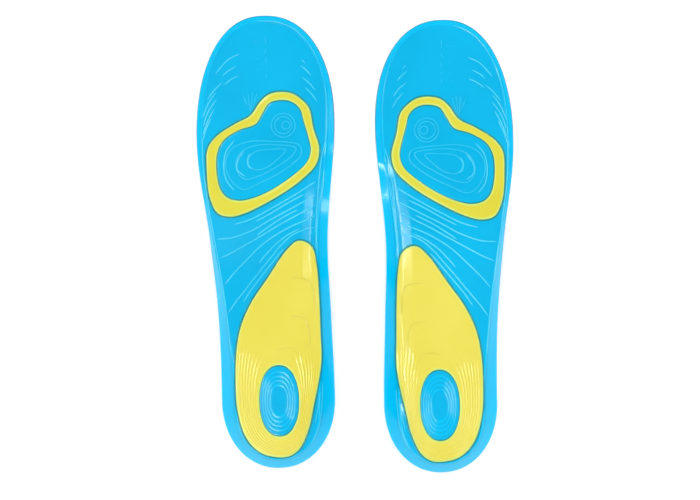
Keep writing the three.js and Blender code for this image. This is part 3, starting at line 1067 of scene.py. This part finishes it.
def poured_gel(name, seen, deep, painted_light, scatter):
    """Glossy translucent gel: cloudy colour, fine bubbles, painted light read from a mesh attribute, and a
    skin with slight orange-peel and streaks.
    """
    gel = Finish(name)
    where = gel.place()
    cloud = gel.noise(where, GEL_CLOUDS, 3.0, 0.55)
    painted_light_share = gel.node("ShaderNodeAttribute", {"attribute_name": "painted_light"}, {}, out="Fac")
    bubbles = gel.node("ShaderNodeTexVoronoi", {"feature": "F1"}, {"Vector": where, "Scale": GEL_BUBBLES})
    bubble = 1 - bubbles.between(0.05, 0.16)
    swarm = gel.noise(where, GEL_BUBBLE_SWARMS, 1.0).between(0.56, 0.66)
    base = gel.blended(cloud.between(0.3, 0.75), deep, seen)
    # Painted light: the colour goes towards the pale one where light is shown coming through thin gel, and as
    # painted highlights along the crease and the ovals' crests.
    base = gel.blended(painted_light_share * PAINTED_LIGHT_TINT, base, painted_light)
    base = gel.blended(bubble * swarm * BUBBLE_TINT, base, painted_light)
    fine = gel.noise(where, GEL_ORANGE_PEEL)
    streaks = gel.noise(where, GEL_STREAKS)
    patches = gel.noise(where, GEL_GLOSS_PATCHES, 3.0).between(0.3, 0.8)
    gel.set(
        Base_Color=base,
        Roughness=0.08 + 0.06 * patches + 0.03 * fine,
        Normal=gel.bump(fine * 0.25 + streaks * 0.75, strength=0.12, distance=0.0006),
        Specular_IOR_Level=0.11,
        Subsurface_Weight=0.2,
        Subsurface_Scale=0.003,
        Subsurface_Radius=scatter,
    )
    return gel.material


def knitted_cover(name):
    """Brushed knit on the foot side: rows of small loops, a little fluff, cloudy wear, and painted shade low
    between the loops.
    """
    cloth = Finish(name)
    where = cloth.place()
    x, y = [cloth.node("ShaderNodeSeparateXYZ", {}, {"Vector": where}, out=axis) for axis in ("X", "Y")]
    wales = (x * (2 * math.pi / WALE_SPACING)).sine()
    courses = (y * (2 * math.pi / COURSE_SPACING) + wales * 1.2).sine()
    loops = wales * courses * 0.5 + 0.5
    fluff = cloth.noise(where, KNIT_FLUFF, 4.0, 0.7)
    cloud = cloth.noise(where, KNIT_CLOUDS, 3.0, 0.6)
    height = loops * 0.6 + fluff * 0.4
    # Painted shade: darker where the knit's loops and fluff lie low, from the same height as the bump; the
    # cloud adds random tone.
    shade = (height * 0.7 + cloud * 0.3).between(0.2, 0.8)
    cloth.set(
        Base_Color=cloth.blended(shade, rgb(44, 88, 116), rgb(88, 142, 170)),
        Roughness=0.85 + 0.12 * fluff,
        Normal=cloth.bump(height, strength=0.7, distance=0.0003),
        Sheen_Weight=0.3,
        Sheen_Roughness=0.5,
    )
    return cloth.material


def pale_floor(name):
    floor = Finish(name)
    grain = floor.noise(floor.place(), FLOOR_GRAIN)
    floor.set(
        Base_Color=floor.blended(grain, rgb(230, 230, 230), rgb(236, 236, 236)),
        Roughness=0.75,
        Specular_IOR_Level=0.1,
        Emission_Color=rgb(236, 255, 255),
        Emission_Strength=0.25,
    )
    return floor.material


# A gel's colour on the face, in its cloudy depths, and its pale colour for painted light (light through thin
# gel, painted highlights) and its bubbles, and how far it spreads red, green and blue light.
# The colour of the painted highlights on the raised lines.
BLUE_HIGHLIGHT = rgb(92, 210, 240)
# Pale greenish yellow for the painted light through the inlays' thin shoulders.
YELLOW_LIT_THROUGH = rgb(184, 220, 122)
BLUE_SCATTER = (0.3, 0.8, 1.0)
blue_gel = poured_gel("blue_gel", rgb(0, 172, 218), rgb(0, 163, 208), rgb(0, 196, 245), BLUE_SCATTER)
yellow_gel = poured_gel("yellow_gel", rgb(216, 206, 88), rgb(212, 200, 76), YELLOW_LIT_THROUGH, (1.0, 0.9, 0.3))
ring_gel = poured_gel("ring_gel", rgb(208, 201, 68), rgb(202, 193, 58), YELLOW_LIT_THROUGH, (1.0, 0.85, 0.3))
# Copies of the blue gel painted lighter for the raised lines: a painted highlight along each line, full and
# faint.
highlight_gel = poured_gel("highlight_gel", BLUE_HIGHLIGHT, rgb(48, 196, 236), BLUE_HIGHLIGHT, BLUE_SCATTER)
faint_highlight_gel = poured_gel("faint_highlight_gel", rgb(52, 192, 232), rgb(26, 182, 228), BLUE_HIGHLIGHT, BLUE_SCATTER)
# Dark teal for the line round each inlay: painted shade of the groove.
seam_shade_gel = poured_gel("seam_shade_gel", rgb(30, 136, 142), rgb(22, 128, 138), rgb(48, 148, 142), (0.3, 0.8, 0.8))
cover_knit = knitted_cover("cover_knit")


# ---- The pieces ----------------------------------------------------------------------------------

lay_out("gel_body_shell", body_with_pockets(), blue_gel, "gel_body", sharp=40)
# The heel island, with painted highlights on its ovals' crests.
heel_island, heel_island_highlights = heel_island_rows()
lay_out("heel_island", from_rows(heel_island, False, heel_island_highlights), blue_gel)
lay_out("ball_island", from_rows(ball_island_rows()), blue_gel)
ring, ring_painted_light = ring_rows()
lay_out("ring_inlay", from_rows(ring, True, ring_painted_light), ring_gel, "forefoot_ring")
pad, pad_painted_light = pad_rows()
lay_out("pad_inlay", from_rows(pad, True, pad_painted_light), yellow_gel, "heel_pad")
lay_out("pad_arcs", line_piece(PAD_ARCS, PAD_ARC_BEAD, INLAY_PROUD), yellow_gel)
# The painted groove shade round the inlays.
lay_out("seam_shades", seam_shade_lines(), seam_shade_gel)
# The raised lines are drawn in the lighter gels: a painted highlight along each.
lay_out("fan_ribs", line_piece(FAN_RIBS, RIB_BEAD), highlight_gel)
lay_out("toe_marks", toe_mark_lines(), highlight_gel)
lay_out("crease_lines", line_piece(CREASE_LINES, CREASE_BEAD), highlight_gel)
lay_out("scale_marks", line_piece(SCALE_MARKS + NOTCH_FAN, SCALE_BEAD), faint_highlight_gel)
lay_out("island_lines", island_loops(), faint_highlight_gel)
lay_out("island_arcs", line_piece(ISLAND_ARCS, ISLAND_ARC_BEAD, ISLAND_PROUD), highlight_gel)

cover_top = foot_side_rows(BOND_GAP, COVER_FACE_ROWS, cover_overhang)
cover_bottom = foot_side_rows(BOND_GAP + COVER_THICKNESS, COVER_FACE_ROWS, cover_overhang)
cover_rows = cover_top[::-1] + cover_bottom
covers = lay_out("knit_cover", from_rows(cover_rows), cover_knit, "top_cover")


# ---- Floor, light and camera ---------------------------------------------------------------------

FLOOR_REACH = 4.0
FLOOR_BELOW = 0.0003
LAMPS_AT = 1.4
# Where each lamp is across and along, its own two sizes, and its power in watts. Glints show only in gloss,
# as highlights, and softboxes give only matt light.
GLINTS = {
    "left_glint": ((-0.42, -0.33), (0.95, 0.21), 34),
    "waist_glint": ((-0.49, 0.42), (0.6, 0.22), 17),
    "right_glint": ((0.41, 0.4), (0.05, 0.13), 2.0),
    "side_glint": ((1.15, 0.16), (0.35, 0.35), 9),
    "left_heel_glint": ((-0.65, -0.85), (0.3, 0.12), 5),
    "right_heel_glint": ((0.75, -0.85), (0.3, 0.12), 5),
}
SOFTBOXES = {
    "left_softbox": ((-1.5, 0.3), (1.2, 1.6), 13),
    "right_softbox": ((1.5, 0.3), (1.2, 1.6), 11.5),
    "back_softbox": ((0.1, 1.9), (1.6, 1.0), 9.5),
    "front_softbox": ((0.0, -1.9), (1.6, 1.0), 9.5),
}
SKY_STRENGTH = 0.8
LENS = 100
SENSOR_WIDTH = 36
CAMERA_AT = (-0.0033, -0.0038, 1.271)


def plain_floor():
    bm = bmesh.new()
    bmesh.ops.create_grid(bm, x_segments=2, y_segments=2, size=FLOOR_REACH)
    bmesh.ops.translate(bm, vec=(0, 0, -FLOOR_BELOW), verts=bm.verts)
    floor = bpy.data.objects.new("floor", mesh_of(bm, "floor"))
    bpy.context.collection.objects.link(floor)
    floor.data.materials.append(pale_floor("floor_paint"))


def lamp(name, at, size, power, glint):
    data = bpy.data.lights.new(name, "AREA")
    data.shape = "RECTANGLE"
    data.size, data.size_y = size
    data.energy = power
    light = bpy.data.objects.new(name, data)
    light.location = (*at, LAMPS_AT)
    light.rotation_euler = (-light.location).to_track_quat("-Z", "Y").to_euler()
    light.visible_diffuse = not glint
    light.visible_glossy = glint
    bpy.context.collection.objects.link(light)


def camera_above():
    data = bpy.data.cameras.new("camera")
    data.lens = LENS
    data.sensor_width = SENSOR_WIDTH
    camera = bpy.data.objects.new("camera", data)
    camera.location = CAMERA_AT
    bpy.context.collection.objects.link(camera)
    bpy.context.scene.camera = camera


plain_floor()
for name, (at, size, power) in GLINTS.items():
    lamp(name, at, size, power, True)
for name, (at, size, power) in SOFTBOXES.items():
    lamp(name, at, size, power, False)
camera_above()

world = bpy.data.worlds.new("studio")
world.use_nodes = True
world.node_tree.nodes["Background"].inputs["Color"].default_value = (1, 1, 1, 1)
world.node_tree.nodes["Background"].inputs["Strength"].default_value = SKY_STRENGTH
bpy.context.scene.world = world
bpy.context.scene.view_settings.view_transform = "Standard"
